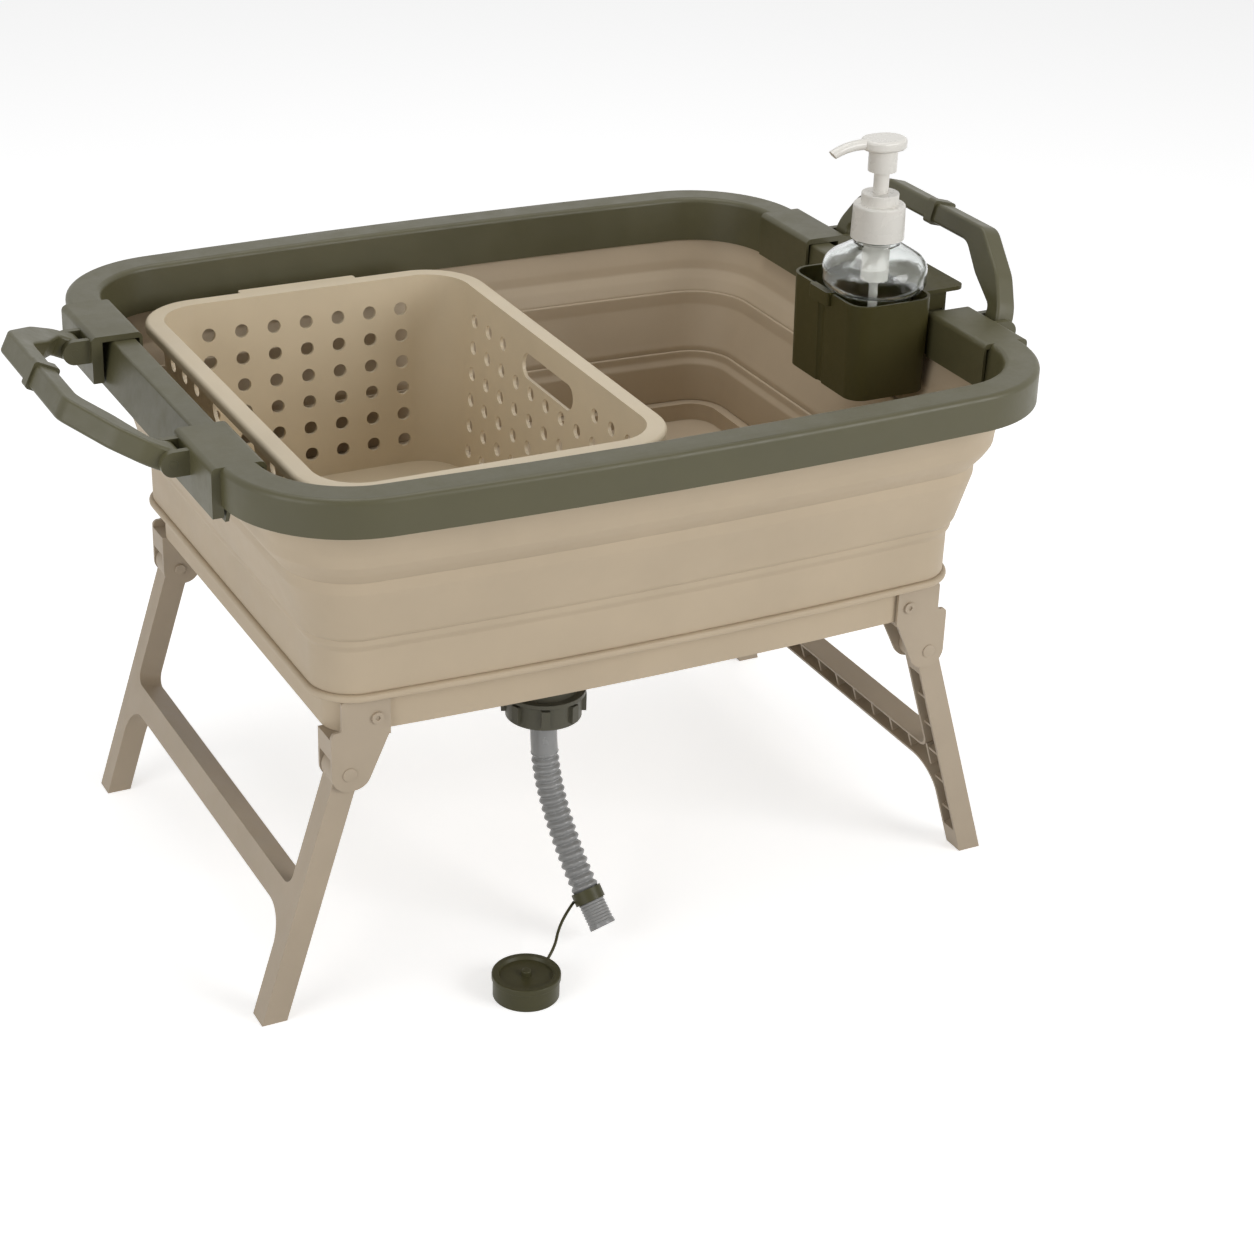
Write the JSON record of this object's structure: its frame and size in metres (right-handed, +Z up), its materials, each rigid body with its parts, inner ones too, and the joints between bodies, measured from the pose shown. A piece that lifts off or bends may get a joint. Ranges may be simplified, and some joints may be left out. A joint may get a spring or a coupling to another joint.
{
  "type": "camp wash station",
  "caption": "Folding camp wash station: stepped collapsible tub on folding leg frames, with lift-out basket, hanging soap cup, pump bottle, drain hose and cap.",
  "frame": {"origin": "middle of the standing object on the floor, the loose hose and cap left out", "axes": "+X along the tub from the basket end to the soap end, +Y to the back, +Z up"},
  "size_m": [0.7158, 0.5058, 0.5326],
  "materials": {
    "olive_plastic": "fine satin grain",
    "beige_rubber": "soft matt",
    "beige_plastic": "fine satin grain",
    "basket_plastic": "smooth satin",
    "drain_plastic": "satin",
    "hose_plastic": "satin",
    "seal_rubber": "matt",
    "steel": "plain",
    "white_plastic": "smooth gloss",
    "clear_plastic": "clear gloss"
  },
  "bodies": {
    "root": {"base_pan": "beige_plastic", "wall_lower": "beige_rubber", "leg_bracket_back_right": "beige_plastic", "leg_bracket_back_left": "beige_plastic", "leg_bracket_front_left": "beige_plastic", "leg_bracket_front_right": "beige_plastic", "leg_pins": "beige_plastic", "bracket_screws": "beige_plastic", "drain_body": "drain_plastic", "drain_gasket": "seal_rubber", "drain_locknut": "drain_plastic", "drain_strainer": "steel", "hose_nut": "drain_plastic", "hose_seal": "seal_rubber", "drain_hose": "hose_plastic", "hose_strap": "olive_plastic", "cap_tether": "olive_plastic", "drain_cap": "olive_plastic", "latch_catches": "beige_plastic"},
    "rim": {"rim_shell": "olive_plastic", "rim_clamp_ring": "olive_plastic", "wall_upper": "beige_rubber", "saddle_back_right": "olive_plastic", "saddle_back_left": "olive_plastic", "saddle_front_left": "olive_plastic", "saddle_front_right": "olive_plastic", "handle_pins": "steel", "latch_pins": "steel"},
    "middle_tier": {"wall_middle": "beige_rubber"},
    "handle_left": {"handle_left": "olive_plastic"},
    "handle_right": {"handle_right": "olive_plastic"},
    "leg_left": {"leg_frame_left": "beige_plastic", "feet_left": "beige_plastic"},
    "leg_right": {"leg_frame_right": "beige_plastic", "feet_right": "beige_plastic"},
    "basket": {"basket": "basket_plastic"},
    "soap_cup": {"soap_cup": "olive_plastic"},
    "bottle": {"soap_bottle": "clear_plastic", "bottle_collar": "white_plastic", "pump_body": "white_plastic", "dip_tube": "clear_plastic", "pump_spring": "steel"},
    "pump_head": {"pump_head": "white_plastic"},
    "latch_left": {"latch_left": "olive_plastic"},
    "latch_right": {"latch_right": "olive_plastic"}
  },
  "joints": [
    {"name": "tub_fold", "type": "slide", "parent": "root", "child": "rim", "axis": [0, 0, -1], "range_m": [0, 0.124]},
    {"name": "middle_fold", "type": "slide", "parent": "root", "child": "middle_tier", "axis": [0, 0, -1], "range_m": [0, 0.062]},
    {"name": "cup_rise", "type": "slide", "parent": "rim", "child": "soap_cup", "axis": [0, 0, 1], "range_m": [0, 0.0633]},
    {"name": "bottle_lift", "type": "slide", "parent": "soap_cup", "child": "bottle", "axis": [0, 0, 1], "range_m": [0, 0.1]},
    {"name": "pump_press", "type": "slide", "parent": "bottle", "child": "pump_head", "axis": [0, 0, -1], "range_m": [0, 0.015], "stiffness_N_per_m": 250, "springref_m": -0.012, "deforming": ["pump_spring"]},
    {"name": "basket_lift", "type": "slide", "parent": "root", "child": "basket", "axis": [0, 0, 1], "range_m": [0, 0.2]},
    {"name": "leg_fold_right", "type": "hinge", "parent": "root", "child": "leg_right", "pos_m": [0.24335, -0.00253, 0.183], "axis": [0, 1, 0], "range_deg": [0, 107]},
    {"name": "leg_fold_left", "type": "hinge", "parent": "root", "child": "leg_left", "pos_m": [-0.20765, -0.00253, 0.183], "axis": [0, -1, 0], "range_deg": [0, 107]},
    {"name": "handle_swing_right", "type": "hinge", "parent": "rim", "child": "handle_right", "pos_m": [0.33235, -0.00253, 0.3935], "axis": [0, -1, 0], "range_deg": [-75, 10]},
    {"name": "handle_swing_left", "type": "hinge", "parent": "rim", "child": "handle_left", "pos_m": [-0.29665, -0.00253, 0.3935], "axis": [0, 1, 0], "range_deg": [-26, 59]},
    {"name": "latch_swing_right", "type": "hinge", "parent": "rim", "child": "latch_right", "pos_m": [0.14585, 0.24992, 0.397], "axis": [1, 0, 0], "range_deg": [0, 100]},
    {"name": "latch_swing_left", "type": "hinge", "parent": "rim", "child": "latch_left", "pos_m": [-0.11015, 0.24992, 0.397], "axis": [1, 0, 0], "range_deg": [0, 100]}
  ],
  "couplings": [
    {"joint": "middle_fold", "follows": "tub_fold", "ratio": 0.5},
    {"joint": "cup_rise", "follows": "tub_fold", "ratio": 0.5097}
  ]
}
